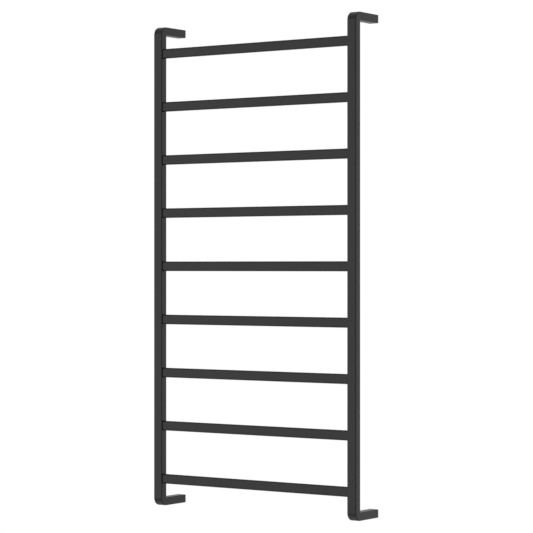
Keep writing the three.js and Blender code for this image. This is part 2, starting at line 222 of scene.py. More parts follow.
def finished_piece(name, parts, sharp=math.radians(32)):
    """One closed mesh from its parts: seams welded, faces turned outwards, creases left sharp."""
    offsets = np.cumsum([0] + [len(points) for points, _ in parts])
    points = np.vstack([part for part, _ in parts])
    quads = np.vstack([faces + offset for (_, faces), offset in zip(parts, offsets)])
    used, compact = np.unique(quads, return_inverse=True)
    points, quads = points[used], compact.reshape(quads.shape)
    triangle = quads[:, 2] == quads[:, 3]
    faces = quads[~triangle].tolist() + quads[triangle, :3].tolist()
    mesh = bpy.data.meshes.new(name)
    mesh.from_pydata(points.tolist(), [], faces)
    work = bmesh.new()
    work.from_mesh(mesh)
    bmesh.ops.remove_doubles(work, verts=work.verts, dist=2e-6)
    bmesh.ops.dissolve_degenerate(work, edges=work.edges, dist=1e-7)
    bmesh.ops.recalc_face_normals(work, faces=work.faces)
    work.to_mesh(mesh)
    work.free()
    mesh.shade_smooth()
    mesh.set_sharp_from_angle(angle=sharp)
    piece = bpy.data.objects.new(name, mesh)
    bpy.context.scene.collection.objects.link(piece)
    return piece


def coat(piece, material):
    """Make this the piece's only material."""
    piece.data.materials.clear()
    piece.data.materials.append(material)


def deliver(piece, material, slot, *nodes):
    """Give a piece its finish, let it ride on the rack and stand for its CAD nodes."""
    coat(piece, material)
    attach(piece, BODY)
    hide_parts(*nodes)


def quarter_arc(steps):
    """Cosines and sines of a quarter turn in equal steps, both ends included."""
    angle = np.linspace(0, math.pi / 2, steps + 1)
    return np.cos(angle), np.sin(angle)


def rectangle_profile(half_u, half_v, radius, marks_u, marks_v, steps=CORNER_STEPS):
    """Points around a rounded rectangle, counter-clockwise from the middle of its right side.

    Each corner is a quarter circle of the radius; each flat side is divided at its marks, which are
    ascending and lie between the two corners.
    """
    flat_u, flat_v = half_u - radius, half_v - radius
    cosine, sine = (values[1:-1] * radius for values in quarter_arc(steps))
    marks_u = np.concatenate([[-flat_u], marks_u, [flat_u]])
    marks_v = np.concatenate([[-flat_v], marks_v, [flat_v]])
    right = np.stack([np.full(len(marks_v), half_u), marks_v], axis=1)
    top = np.stack([marks_u[::-1], np.full(len(marks_u), half_v)], axis=1)
    left = np.stack([np.full(len(marks_v), -half_u), marks_v[::-1]], axis=1)
    bottom = np.stack([marks_u, np.full(len(marks_u), -half_v)], axis=1)
    arcs = [np.stack([flat_u + cosine, flat_v + sine], axis=1),
            np.stack([-flat_u - sine, flat_v + cosine], axis=1),
            np.stack([-flat_u - cosine, -flat_v - sine], axis=1),
            np.stack([flat_u + sine, -flat_v - cosine], axis=1)]
    return np.vstack([right, arcs[0], top, arcs[1], left, arcs[2], bottom, arcs[3]])


def rounded_outline(points, core_u, core_v):
    """For each point, its nearest point in the core rectangle and the unit direction away from it.

    core + offset * direction is then a rounded rectangle whose corner radius is the offset.
    """
    core = np.clip(points, [-core_u, -core_v], [core_u, core_v])
    away = points - core
    return core, away / np.linalg.norm(away, axis=1, keepdims=True)


def tube_wall(outer, inner, openings=()):
    """A tube with a wall: an outer and an inner (stations, around, 3) grid joined at both ends.

    Each opening is (first station, last station, first column, last column, lining): both skins
    leave out the quads inside those bounds, and the lining part closes the wall round the hole.
    """
    keep = np.ones((outer.shape[0] - 1, outer.shape[1]), dtype=bool)
    for first, last, left, right, _ in openings:
        keep[first:last, left:right] = False
    rims = [as_part(np.stack([outer[end], inner[end]])) for end in (0, -1)]
    linings = [lining for *_, lining in openings]
    return [as_part(outer, keep=keep), as_part(inner, keep=keep), *rims, *linings]


def hole_lining(centre, along_a, along_b, inward, loop, core_a, core_b, radius, wall, lip, steps=4):
    """The faces round a hole through a flat wall, from the outer skin to the inner skin.

    loop holds the plane coordinates (a, b) of the rectangle that was left out of both skins. The
    hole's edge is the core rectangle grown by the radius. Row by row the surface runs from the loop
    to the edge, over a lip of quarter-circle section, straight through the wall and back out to the
    loop on the inner side: point = centre + a * along_a + b * along_b + depth * inward.
    """
    core, away = rounded_outline(loop, core_a, core_b)
    cosine, sine = quarter_arc(steps)
    offsets = radius + lip * (1 - sine)
    depths = lip * (1 - cosine)
    rows = [(loop, 0.0), *((core + offset * away, depth) for offset, depth in zip(offsets, depths)),
            (core + radius * away, wall), (loop, wall)]
    grid = np.stack([centre + flat[:, :1] * along_a + flat[:, 1:] * along_b + depth * inward
                     for flat, depth in rows])
    return as_part(grid)


def rectangle_loop(marks_a, marks_b):
    """The boundary points of the rectangle that the two ascending sets of marks span, in order."""
    low_a, high_a, low_b, high_b = marks_a[0], marks_a[-1], marks_b[0], marks_b[-1]
    sides = [np.stack([marks_a[:-1], np.full(len(marks_a) - 1, low_b)], axis=1),
             np.stack([np.full(len(marks_b) - 1, high_a), marks_b[:-1]], axis=1),
             np.stack([marks_a[:0:-1], np.full(len(marks_a) - 1, high_b)], axis=1),
             np.stack([np.full(len(marks_b) - 1, low_a), marks_b[:0:-1]], axis=1)]
    return np.vstack(sides)


def mirrored_marks(*positive):
    """Ascending marks on both sides of zero, and zero itself."""
    ahead = np.array(positive)
    return np.concatenate([-ahead[::-1], [0.0], ahead])


def thirds(half):
    """Ascending marks at zero and, both ways, at thirds of a flat side's half length."""
    return mirrored_marks(half / 3, half * 2 / 3)


def swept_cord(path, radius, across, sides=16):
    """A round cord whose path lies in the plane square to the unit vector across, its ends closed.

    point = path + radius * (cos(angle) * side + sin(angle) * across), side square to the path.
    """
    step = np.gradient(path, axis=0)
    tangent = step / np.linalg.norm(step, axis=1, keepdims=True)
    side = np.cross(tangent, across)
    angle = np.linspace(0, 2 * math.pi, sides, endpoint=False)[None, :, None]
    grid = path[:, None] + radius * (np.cos(angle) * side[:, None] + np.sin(angle) * across)
    return [as_part(grid), disc_part(grid[0]), disc_part(grid[-1])]


def turned_part(centre, profile, sides=28, shape=None):
    """A solid of revolution about a vertical axis: each (radius, height) of the profile is a ring.

    shape, where given, is (rows, sides) of factors on the radius, for rings that aren't round.
    """
    angle = np.linspace(0, 2 * math.pi, sides, endpoint=False)
    radius = profile[:, :1] * (np.ones((len(profile), sides)) if shape is None else shape)
    height = np.broadcast_to(profile[:, 1:], radius.shape)
    grid = np.stack([radius * np.cos(angle), radius * np.sin(angle), height], axis=-1) + centre
    return [as_part(grid), disc_part(grid[0]), disc_part(grid[-1])]


# ---------------------------------------------------------------------------------------------
# Shader expressions
# ---------------------------------------------------------------------------------------------


class Value:
    """A shader socket that can be used in Python expressions; each operator adds its Math node."""

    def __init__(self, shader, socket):
        self.shader, self.socket = shader, socket

    def maths(self, operation, *others):
        return self.shader.node("ShaderNodeMath", {"operation": operation},
                                dict(enumerate((self, *others))))

    def __add__(self, other):
        return self.maths("ADD", other)

    def __sub__(self, other):
        return self.maths("SUBTRACT", other)

    def __rsub__(self, other):
        return self.shader.node("ShaderNodeMath", {"operation": "SUBTRACT"}, {0: other, 1: self})

    def __mul__(self, other):
        return self.maths("MULTIPLY", other)

    def between(self, low, high):
        """0 below low, 1 above high, and a smooth step from one to the other."""
        return self.shader.node("ShaderNodeMapRange", {"interpolation_type": "SMOOTHSTEP"},
                                {"Value": self, "From Min": low, "From Max": high})


class Shader:
    """A material or world tree under construction."""

    def __init__(self, tree):
        self.tree = tree
        tree.nodes.clear()

    def node(self, kind, settings=None, inputs=None, output=0):
        """Add a node: its settings first, then the values or links of its sockets."""
        made = self.tree.nodes.new(kind)
        for name, value in (settings or {}).items():
            setattr(made, name, value)
        for name, value in (inputs or {}).items():
            if isinstance(value, Value):
                self.tree.links.new(value.socket, made.inputs[name])
            else:
                made.inputs[name].default_value = value
        return Value(self, made.outputs[output]) if made.outputs else made

    def noise(self, place, size, detail=2.0, roughness=0.5):
        """Noise whose features are about size metres wide, from 0 to 1."""
        inputs = {"Vector": place, "Scale": 1 / size, "Detail": detail, "Roughness": roughness}
        return self.node("ShaderNodeTexNoise", None, inputs)

    def cells(self, place, size):
        """Distance to the nearest of scattered points about size metres apart."""
        return self.node("ShaderNodeTexVoronoi", None, {"Vector": place, "Scale": 1 / size})

    def place(self, shift=(0.0, 0.0, 0.0)):
        """Object coordinates, which are the rack's own frame in metres, moved by a shift."""
        own = self.node("ShaderNodeTexCoord", output="Object")
        return self.node("ShaderNodeMapping", None, {"Vector": own, "Location": shift})

    def part_of(self, vector, axis):
        """One of the X, Y and Z parts of a vector."""
        return self.node("ShaderNodeSeparateXYZ", None, {"Vector": vector}, output=axis)

    def mixed(self, factor, first, second):
        """The first colour where factor is 0, the second where it is 1."""
        ends = {0: factor, 6: first, 7: second}
        return self.node("ShaderNodeMix", {"data_type": "RGBA"}, ends, output=2)

    def bump(self, height, distance, strength=1.0):
        """A normal tilted by a height from 0 to 1 that stands for distance metres."""
        return self.node("ShaderNodeBump", None,
                         {"Height": height, "Distance": distance, "Strength": strength})


def shade(rgb, factor):
    """A colour made lighter or darker, as red, green, blue and alpha."""
    return (*(min(1.0, channel * factor) for channel in rgb), 1.0)


def surfaced(name, build):
    """A material whose surface inputs are what build(shader) returns."""
    material = bpy.data.materials.new(name)
    material.use_nodes = True
    shader = Shader(material.node_tree)
    surface = shader.node("ShaderNodeBsdfPrincipled", None, build(shader))
    shader.node("ShaderNodeOutputMaterial", None, {"Surface": surface})
    material.diffuse_color = (0.2, 0.2, 0.2, 1.0)
    return material


def powder_coat(name, finish, seed):
    """Matte powder coat: orange peel, fine grain, a slow drift of tone and a few sunken specks."""
    def build(shader):
        spot = shader.place((seed, 0, 0))
        peel = shader.noise(spot, finish.peel_size, detail=1.0)
        grain = shader.noise(spot, finish.grain_size, detail=2.0)
        drift = shader.noise(spot, finish.drift_size, detail=3.0)
        specks = 1 - shader.cells(spot, finish.speck_spacing).between(0.02, 0.05)
        tone = (grain - 0.5) * 0.55 + (drift - 0.5) * 0.35 + 0.5
        height = peel * 0.7 + grain * 0.3 - specks * 0.4
        gloss = (grain - 0.5) * 0.16 + (drift - 0.5) * 0.1
        return {
            "Base Color": shader.mixed(tone, shade(finish.coat, 0.86), shade(finish.coat, 1.16)),
            "Roughness": gloss + specks * 0.08 + finish.coat_roughness,
            "Normal": shader.bump(height, finish.peel_height, 0.8),
        }
    return surfaced(name, build)


def moulded_rubber(name, rgb, seed):
    """Black rubber: a fine even grain with slightly dusty high spots."""
    def build(shader):
        spot = shader.place((0, seed, 0))
        grain = shader.noise(spot, 0.0004, detail=3.0)
        dust = shader.noise(spot, 0.006, detail=4.0).between(0.5, 0.8)
        return {
            "Base Color": shader.mixed(dust * 0.3, shade(rgb, 1), shade(rgb, 3)),
            "Roughness": (grain - 0.5) * 0.12 + dust * 0.06 + 0.78,
            "Normal": shader.bump(grain, 0.00005, 0.5),
            "Specular IOR Level": 0.3,
        }
    return surfaced(name, build)


def cast_metal(name, rgb, roughness, seed):
    """Bare cast or blackened metal: sandy skin, small pits and faint streaks of tone."""
    def build(shader):
        spot = shader.place((0, 0, seed))
        skin = shader.noise(spot, 0.0007, detail=4.0, roughness=0.6)
        stain = shader.noise(spot, 0.012, detail=3.0)
        pits = 1 - shader.cells(spot, 0.0022).between(0.08, 0.2)
        return {
            "Base Color": shader.mixed(stain, shade(rgb, 0.75), shade(rgb, 1.2)),
            "Roughness": (skin - 0.5) * 0.2 + (stain - 0.5) * 0.15 + roughness,
            "Normal": shader.bump(skin - pits * 0.5, 0.00008, 0.6),
            "Metallic": 1.0,
        }
    return surfaced(name, build)


def moulded_plastic(name, rgb, roughness, seed):
    """Moulded plastic or a soft sheath: faint flow marks and a fine spark-eroded texture."""
    def build(shader):
        spot = shader.place((seed, seed, 0))
        texture = shader.noise(spot, 0.0005, detail=2.0)
        flow = shader.noise(spot, 0.008, detail=2.0)
        return {
            "Base Color": shader.mixed(flow, shade(rgb, 0.9), shade(rgb, 1.08)),
            "Roughness": (texture - 0.5) * 0.12 + (flow - 0.5) * 0.1 + roughness,
            "Normal": shader.bump(texture, 0.00003, 0.5),
        }
    return surfaced(name, build)


def striped_sheath(name, first, second, width):
    """A two-coloured sheath: diagonal stripes of the given width along the lead."""
    def build(shader):
        place = shader.place()
        along = shader.part_of(place, "Y") + shader.part_of(place, "Z")
        stripe = (along * (math.pi / width)).maths("SINE").between(-0.1, 0.1)
        texture = shader.noise(place, 0.0006)
        return {
            "Base Color": shader.mixed(stripe, (*first, 1.0), (*second, 1.0)),
            "Roughness": (texture - 0.5) * 0.1 + 0.5,
            "Normal": shader.bump(texture, 0.00002, 0.5),
        }
    return surfaced(name, build)


# ---------------------------------------------------------------------------------------------
# Pieces
# ---------------------------------------------------------------------------------------------


def slot_marks(below, above, core):
    """Ascending marks across a slot's surround: close together round its corners, wide between."""
    return np.concatenate([np.linspace(-below, -core, 6), [-core / 2, 0.0, core / 2],
                           np.linspace(core, above, 6)])


def rail_piece(side_name, sizes):
    """One rail: a rectangular tube carried along a C, with slots for the bars and grub-screw holes.

    Every station of the path has an outer and an inner point, P(n) = inner + (n / depth + 1/2) *
    (outer - inner), so the same rounded rectangle (x, n) runs straight along the arms and the
    upright and fans round the bends, where outer and inner run on arcs of their own.
    """
    side = SIDES[side_name]
    half_w, half_d, edge, wall = RAIL_WIDTH / 2, RAIL_DEPTH / 2, sizes.rail_edge, sizes.rail_wall
    slot_radius = sizes.bar_edge + sizes.running_gap
    slot_core = BAR_SIZE[1:] / 2 - sizes.bar_edge
    bar_y = BAR_CENTRES[1][1]
    setback = FRONT + half_d - bar_y
    marks_y = slot_marks(half_d - edge - setback, half_d - edge + setback, slot_core[0])
    surround = slot_core[1] + 1.6 * slot_radius
    marks_z = slot_marks(surround, surround, slot_core[1])
    marks_n = (setback - marks_y)[::-1]

    grub_low, grub_high = corners(f"grub_screw_top_{side_name}")
    grub_y = (grub_low[1] + grub_high[1]) / 2
    grub_radius = (grub_high[0] - grub_low[0]) / 2 + sizes.running_gap
    hole_half = 2 * grub_radius
    marks_hole = np.linspace(-hole_half, hole_half, 9)

    arm_end = RAIL_HIGH[1]
    bend_y = FRONT + sizes.bend_radius
    near_wall, near_bend = (arm_end + grub_y + hole_half) / 2, (grub_y - hole_half + bend_y) / 2
    arm_y = np.concatenate([[arm_end, near_wall], grub_y - marks_hole, [near_bend]])
    cosine, sine = quarter_arc(24)
    bars_z = [centre[2] for centre in BAR_CENTRES.values()]
    upright_z = np.sort(np.concatenate([z + marks_z for z in bars_z]))[::-1]

    def stations(radius, back, up):
        """Half the C: along the arm and round the bend about (back, up) to the upright."""
        arm = np.stack([arm_y, np.full(len(arm_y), up + radius)], axis=1)
        bend = np.stack([back - radius * sine, up + radius * cosine], axis=1)
        return np.vstack([arm, bend])

    outer_top = stations(sizes.bend_radius, bend_y, RAIL_TOP - sizes.bend_radius)
    inner_back = FRONT + RAIL_DEPTH + sizes.bend_inner
    inner_top = stations(sizes.bend_inner, inner_back, RAIL_TOP - RAIL_DEPTH - sizes.bend_inner)

    def whole(half, upright_y):
        upright = np.stack([np.full(len(upright_z), upright_y), upright_z], axis=1)
        return np.vstack([half, upright, half[::-1] * [1, -1]])

    outer_path = whole(outer_top, FRONT)
    inner_path = whole(inner_top, FRONT + RAIL_DEPTH)

    def skin(inset):
        radius = max(edge - inset, LEAST_RADIUS)
        profile = rectangle_profile(half_w - inset, half_d - inset, radius,
                                    marks_hole, marks_n[1:-1])
        share = profile[:, 1] / RAIL_DEPTH + 0.5
        path = inner_path[:, None] + share[None, :, None] * (outer_path - inner_path)[:, None]
        x = np.broadcast_to(side * RAIL_X + profile[:, 0], path.shape[:2])
        return np.concatenate([x[..., None], path], axis=-1)

    outer, inner = skin(0.0), skin(wall)
    count_n, count_x, arc = len(marks_n), len(marks_hole) + 2, CORNER_STEPS - 1
    starts = np.cumsum([0, count_n + arc, count_x + arc, count_n + arc])
    inner_side = starts[2] if side > 0 else starts[0]

    openings = []
    slot_loop = rectangle_loop(marks_y, marks_z)
    order = np.argsort(-np.array(bars_z))
    for place, index in enumerate(order):
        first = len(outer_top) + place * len(marks_z)
        centre = np.array([side * INNER_FACE, bar_y, bars_z[index]])
        lining = hole_lining(centre, Y_AXIS, Z_AXIS, side * X_AXIS, slot_loop,
                             *slot_core, slot_radius, wall, sizes.slot_lip)
        last = first + len(marks_z) - 1
        openings.append((first, last, inner_side, inner_side + count_n - 1, lining))

    hole_loop = rectangle_loop(marks_hole, marks_hole)
    before_hole, hole_span = 2, len(marks_hole) - 1
    mirrored_hole = len(outer_path) - 1 - before_hole - hole_span
    holes = [(before_hole, starts[3] + 1, ARM_Z), (mirrored_hole, starts[1] + 1, -ARM_Z)]
    for first, column, arm_z in holes:
        centre = np.array([side * RAIL_X, grub_y, arm_z - half_d])
        lining = hole_lining(centre, X_AXIS, Y_AXIS, Z_AXIS, hole_loop,
                             0.0, 0.0, grub_radius, wall, sizes.slot_lip / 2)
        openings.append((first, first + hole_span, column, column + hole_span, lining))
    return finished_piece(f"{side_name}_rail_tube", tube_wall(outer, inner, openings))


def bar_piece(number, sizes):
    """One bar: a rounded rectangle (y, z) carried straight along x, with a wall and open ends."""
    low, high = BAR_BOXES[number]
    centre = BAR_CENTRES[number]
    stations = np.linspace(low[0], high[0], 9)
    flat_y, flat_z = BAR_SIZE[1:] / 2 - sizes.bar_edge
    marks_y, marks_z = mirrored_marks(flat_y / 2), thirds(flat_z)

    def skin(inset):
        radius = max(sizes.bar_edge - inset, LEAST_RADIUS)
        half_y, half_z = BAR_SIZE[1] / 2 - inset, BAR_SIZE[2] / 2 - inset
        profile = rectangle_profile(half_y, half_z, radius, marks_y, marks_z, steps=8)
        grid = np.broadcast_to(profile, (len(stations), *profile.shape)) + centre[1:]
        x = np.broadcast_to(stations[:, None, None], (*grid.shape[:2], 1))
        return np.concatenate([x, grid], axis=-1)

    return finished_piece(f"bar_{number}_tube", tube_wall(skin(0.0), skin(sizes.bar_wall)))


def collar_piece(side_name, number, sizes):
    """One collar: a block whose opening takes the bar's end, its edges rounded on both faces.

    Each row is a rounded rectangle at a depth x. They run once round the section: out over the rim
    of the opening, across the face, over the outer edge, and back the same way on the far face.
    """
    low, high = corners(f"bar_collar_{side_name}_{number}")
    centre, size = (low + high) / 2, high - low
    bar, gap = BAR_CENTRES[number], sizes.running_gap
    lip, edge = sizes.collar_lip, sizes.collar_edge

    def row(middle, half_y, half_z, radius, depth):
        flat_y, flat_z = half_y - radius, half_z - radius
        flat = rectangle_profile(half_y, half_z, radius, mirrored_marks(flat_y / 2), thirds(flat_z))
        return flat + middle[1:], depth

    cosine, sine = quarter_arc(4)
    eased = lip * (1 - sine)
    depths = low[0] + lip * (1 - cosine)
    mouth = [row(bar, *(BAR_SIZE[1:] / 2 + grow), sizes.bar_edge + grow, depth)
             for grow, depth in zip(gap + eased, depths)]
    rim = [row(centre, *(size[1:] / 2 - less), edge - less, depth)
           for less, depth in zip(eased, depths)]
    near = mouth[::-1] + rim
    far = [(flat, low[0] + high[0] - depth) for flat, depth in near[::-1]]
    grid = np.stack([np.concatenate([np.full((len(flat), 1), depth), flat], axis=1)
                     for flat, depth in near + far])
    return finished_piece(f"collar_{side_name}_{number}", [as_part(grid, wrap_rows=True)])


def block_piece(level_name, side_name, sizes):
    """One wall block: a screw hole that steps wider towards the room, and a cable way beside it.

    Each half of the block is one ring of points carried from the back face into its hole, through
    to the front face and out again; the outer wall carries the block's outline from back to front.
    """
    low, high = corners(f"wall_bracket_{level_name}_{side_name}")
    centre, size = (low + high) / 2, high - low
    edge, corner = sizes.block_edge, sizes.block_corner
    lip, hole_x = sizes.slot_lip, sizes.hole_offset
    screw, head, way = sizes.screw_hole / 2, sizes.head_hole / 2, sizes.cable_way / 2
    flat_x, flat_z = size[0] / 2 - corner, size[2] / 2 - corner
    marks_x, marks_z = thirds(flat_x), thirds(flat_z)
    outline = rectangle_profile(size[0] / 2, size[2] / 2, corner, marks_x, marks_z)
    core, away = rounded_outline(outline, flat_x, flat_z)
    cosine, sine = quarter_arc(4)
    back, front = high[1], low[1]

    def at(flat, depth):
        y = np.full((len(flat), 1), depth)
        return np.concatenate([centre[0] + flat[:, :1], y, centre[2] + flat[:, 1:]], axis=1)

    bevel = [(corner - edge * (1 - s), edge * (1 - c)) for c, s in zip(cosine, sine)]
    wall_rows = [(offset, back - depth) for offset, depth in bevel]
    wall_rows += [(offset, front + depth) for offset, depth in bevel[::-1]]
    wall = np.stack([at(core + offset * away, depth) for offset, depth in wall_rows])
    rim = core + (corner - edge) * away
    upper = int(np.argmin(np.abs(outline[:, 0]) + (outline[:, 1] < 0)))
    lower = int(np.argmin(np.abs(outline[:, 0]) + (outline[:, 1] > 0)))
    middle = np.linspace(rim[upper], rim[lower], 9)[1:-1]
    left_loop = np.vstack([rim[upper:lower + 1], middle[::-1]])
    right_loop = np.vstack([rim[lower:], rim[:upper + 1], middle])

    def half_block(loop, x, steps):
        """steps are (radius, y) from the back face to the front face."""
        away_from_hole = loop - [x, 0.0]
        ray = away_from_hole / np.linalg.norm(away_from_hole, axis=1, keepdims=True)
        rings = [at([x, 0.0] + radius * ray, depth) for radius, depth in steps]
        return as_part(np.stack([at(loop, back), *rings, at(loop, front)]))

    def mouth(radius, face, inward):
        """Rows over a hole's rounded mouth, from the face into the hole."""
        return [(radius + lip * (1 - s), face + inward * lip * (1 - c))
                for c, s in zip(cosine, sine)]

    step_y = front + sizes.head_depth
    step = [(screw, step_y), (head, step_y)]
    screw_rows = mouth(screw, back, -1) + step + mouth(head, front, 1)[::-1]
    way_rows = mouth(way, back, -1) + mouth(way, front, 1)[::-1]
    parts = [as_part(wall), half_block(left_loop, -hole_x, screw_rows),
             half_block(right_loop, hole_x, way_rows)]
    return finished_piece(f"wall_block_{level_name}_{side_name}", parts)


def upright(node):
    """The middle of the foot, the radius and the height of a CAD node that is round and upright."""
    low, high = corners(node)
    foot = np.array([(low[0] + high[0]) / 2, (low[1] + high[1]) / 2, low[2]])
    return foot, (high[0] - low[0]) / 2, high[2] - low[2]


def grub_piece(level_name, side_name, sizes):
    """One grub screw, turned about its axis: a hexagon socket, a chamfered foot and a cupped point.

    Over the thread, radius = outer radius - groove * (1 - cos(2 pi * height / pitch)) / 2.
    """
    foot, radius, height = upright(f"grub_screw_{level_name}_{side_name}")
    sides, steps_a_turn = 48, 8
    angle = np.linspace(0, 2 * math.pi, sides, endpoint=False)
    sector = math.pi / 3
    hexagon = math.cos(sector / 2) / np.cos(np.mod(angle, sector) - sector / 2)
    socket, chamfer, depth = radius * 0.58, radius * 0.12, 0.45 * height
    pitch, groove = sizes.thread_pitch, radius * 0.06
    turns = int((height - 2 * chamfer) / pitch)
    shank = np.linspace(chamfer, height - chamfer, 1 + steps_a_turn * turns)
    thread = radius - groove * (0.5 - 0.5 * np.cos(2 * math.pi * (shank - chamfer) / pitch))
    rings = [(socket * 0.1, depth), (socket, depth), (socket, chamfer / 2), (socket * 1.08, 0.0)]
    rings += [(radius - chamfer, 0.0), *zip(thread, shank)]
    rings += [(radius - chamfer, height), (radius / 2, height), (radius / 4, height - radius / 4)]
    profile = np.array(rings)
    shape = np.ones((len(profile), sides))
    shape[:4] = hexagon
    name = f"grub_{level_name}_{side_name}"
    return finished_piece(name, turned_part(foot, profile, sides, shape), sharp=math.radians(25))


def cable_piece(sizes):
    """The heating cable: rail, bar, rail, bar, with a quarter circle at every turn."""
    low, high = corners("heating_cable")
    radius, turn = (high[1] - low[1]) / 2, sizes.cable_turn
    edge_x = high[0] - radius
    heights = sorted(centre[2] for centre in BAR_CENTRES.values())
    cosine, sine = quarter_arc(8)
    points = [[edge_x, low[2]]]
    for index, z in enumerate(heights):
        start = edge_x if index % 2 == 0 else -edge_x
        toward = -math.copysign(1.0, start)
        rise = np.stack([start + toward * turn * (1 - cosine), z - turn + turn * sine], axis=1)
        climb = np.stack([-start - toward * turn * (1 - sine), z + turn - turn * cosine], axis=1)
        points += [*rise, *climb]
    points.append([-edge_x if len(heights) % 2 else edge_x, high[2]])
    path = np.insert(np.array(points), 1, BAR_CENTRES[1][1], axis=1)
    return finished_piece("heating_cord", swept_cord(path, radius, Y_AXIS))


def cold_lead_piece(sizes):
    """The lead from the cut-out: down the rail, round a quarter circle and along the arm."""
    low, high = corners("cold_lead")
    radius, turn = (high[0] - low[0]) / 2, sizes.lead_turn
    start_y, end_z = low[1] + radius, low[2] + radius
    cosine, sine = quarter_arc(10)
    bend = np.stack([start_y + turn * (1 - cosine), end_z + turn * (1 - sine)], axis=1)
    flat = np.vstack([[start_y, high[2]], bend, [high[1], end_z]])
    path = np.insert(flat, 0, (low[0] + high[0]) / 2, axis=1)
    return finished_piece("cold_lead_cord", swept_cord(path, radius, X_AXIS))


def end_cap_piece(sizes):
    """The cap on the cable's far end, turned about its axis: two crimped rings and a rounded top.

    Over the shank, radius = outer radius * (1 - depth * sum of exp(-((height - ring) / width)^2)).
    """
    foot, radius, height = upright("cable_end_seal")
    crown, crimp_width, crimp_depth = sizes.cap_crown, 0.0007, 0.07
    rise = np.linspace(0, height - crown, 48)
    rings = np.array([0.25, 0.42]) * height
    crimp = np.exp(-((rise[:, None] - rings) / crimp_width) ** 2).sum(axis=1)
    cosine, sine = quarter_arc(6)
    shank = np.stack([radius * (1 - crimp_depth * crimp), rise], axis=1)
    dome = np.stack([radius - crown * (1 - cosine), height - crown * (1 - sine)], axis=1)
    return finished_piece("cable_end_cap", turned_part(foot, np.vstack([shank, dome])))


def cutout_piece(sizes):
    """The thermal cut-out's sleeve, turned about its axis: it swells from a neck at both ends.

    Over a shoulder, radius = neck + (body - neck) * t * t * (3 - 2 * t), t running from 0 to 1.
    """
    foot, radius, height = upright("thermal_cutout")
    cable_low, cable_high = corners("heating_cable")
    neck, shoulder = (cable_high[1] - cable_low[1]) / 2, sizes.cutout_shoulder
    part = np.linspace(0, 1, 10)
    swell = np.stack([neck + (radius - neck) * part ** 2 * (3 - 2 * part), shoulder * part], axis=1)
    profile = np.vstack([swell, (swell * [1, -1] + [0, height])[::-1]])
    return finished_piece("cutout_sleeve", turned_part(foot, profile))


# ---------------------------------------------------------------------------------------------
# Operators
# ---------------------------------------------------------------------------------------------


class TOWELRACK_OT_rails(bpy.types.Operator):
    """Build both rails: rectangular tube bent back to the wall, with slots and screw holes"""
    bl_idname = "towelrack.rails"
    bl_label = "Rails"
    bl_options = {"REGISTER", "UNDO"}

    def execute(self, context):
        sizes, finish = context.scene.towel_rack_sizes, context.scene.towel_rack_finish
        powder = powder_coat("rail powder coat", finish, 0.0)
        for side_name in SIDES:
            deliver(rail_piece(side_name, sizes), powder, "rail_coat", f"{side_name}_rail")
        return {"FINISHED"}


class TOWELRACK_OT_bars(bpy.types.Operator):
    """Build the bars: coated flat tubes on edge between the rails"""
    bl_idname = "towelrack.bars"
    bl_label = "Bars"
    bl_options = {"REGISTER", "UNDO"}

    def execute(self, context):
        sizes, finish = context.scene.towel_rack_sizes, context.scene.towel_rack_finish
        powder = powder_coat("bar powder coat", finish, 3.0)
        for number in BAR_NUMBERS:
            deliver(bar_piece(number, sizes), powder, "bar_coat", f"bar_{number}")
        return {"FINISHED"}


class TOWELRACK_OT_collars(bpy.types.Operator):
    """Build the rubber collars inside the rails that the bars' ends stand in"""
    bl_idname = "towelrack.collars"
    bl_label = "Collars"
    bl_options = {"REGISTER", "UNDO"}

    def execute(self, context):
        sizes, finish = context.scene.towel_rack_sizes, context.scene.towel_rack_finish
        rubber = moulded_rubber("collar rubber", finish.rubber, 1.0)
        for side_name in SIDES:
            for number in BAR_NUMBERS:
                piece = collar_piece(side_name, number, sizes)
                deliver(piece, rubber, "collar_rubber", f"bar_collar_{side_name}_{number}")
        return {"FINISHED"}


class TOWELRACK_OT_wall_blocks(bpy.types.Operator):
    """Build the four wall blocks and the grub screws that lock the arms to them"""
    bl_idname = "towelrack.wall_blocks"
    bl_label = "Wall blocks and grub screws"
    bl_options = {"REGISTER", "UNDO"}

    def execute(self, context):
        sizes, finish = context.scene.towel_rack_sizes, context.scene.towel_rack_finish
        zinc = cast_metal("cast zinc", finish.zinc, 0.42, 2.0)
        oxide = cast_metal("black oxide steel", finish.oxide, 0.36, 5.0)
        for level_name in LEVELS:
            for side_name in SIDES:
                where = f"{level_name}_{side_name}"
                block = block_piece(level_name, side_name, sizes)
                deliver(block, zinc, "bracket_zinc", f"wall_bracket_{where}")
                grub = grub_piece(level_name, side_name, sizes)
                deliver(grub, oxide, "grub_steel", f"grub_screw_{where}")
        return {"FINISHED"}


class TOWELRACK_OT_heating(bpy.types.Operator):
    """Build the heating cable with its end cap, cut-out and cold lead"""
    bl_idname = "towelrack.heating"
    bl_label = "Heating cable"
    bl_options = {"REGISTER", "UNDO"}

    def execute(self, context):
        sizes, finish = context.scene.towel_rack_sizes, context.scene.towel_rack_finish
        silicone = moulded_plastic("red silicone", finish.silicone, 0.5, 1.0)
        deliver(cable_piece(sizes), silicone, "cable_silicone", "heating_cable")
        seal = moulded_rubber("seal rubber", finish.rubber, 4.0)
        deliver(end_cap_piece(sizes), seal, "seal_rubber", "cable_end_seal")
        nylon = moulded_plastic("cut-out nylon", finish.nylon, 0.45, 2.0)
        deliver(cutout_piece(sizes), nylon, "cutout_nylon", "thermal_cutout")
        sheath = moulded_rubber("lead rubber", finish.rubber, 6.0)
        deliver(cold_lead_piece(sizes), sheath, "lead_rubber", "cold_lead")
        return {"FINISHED"}


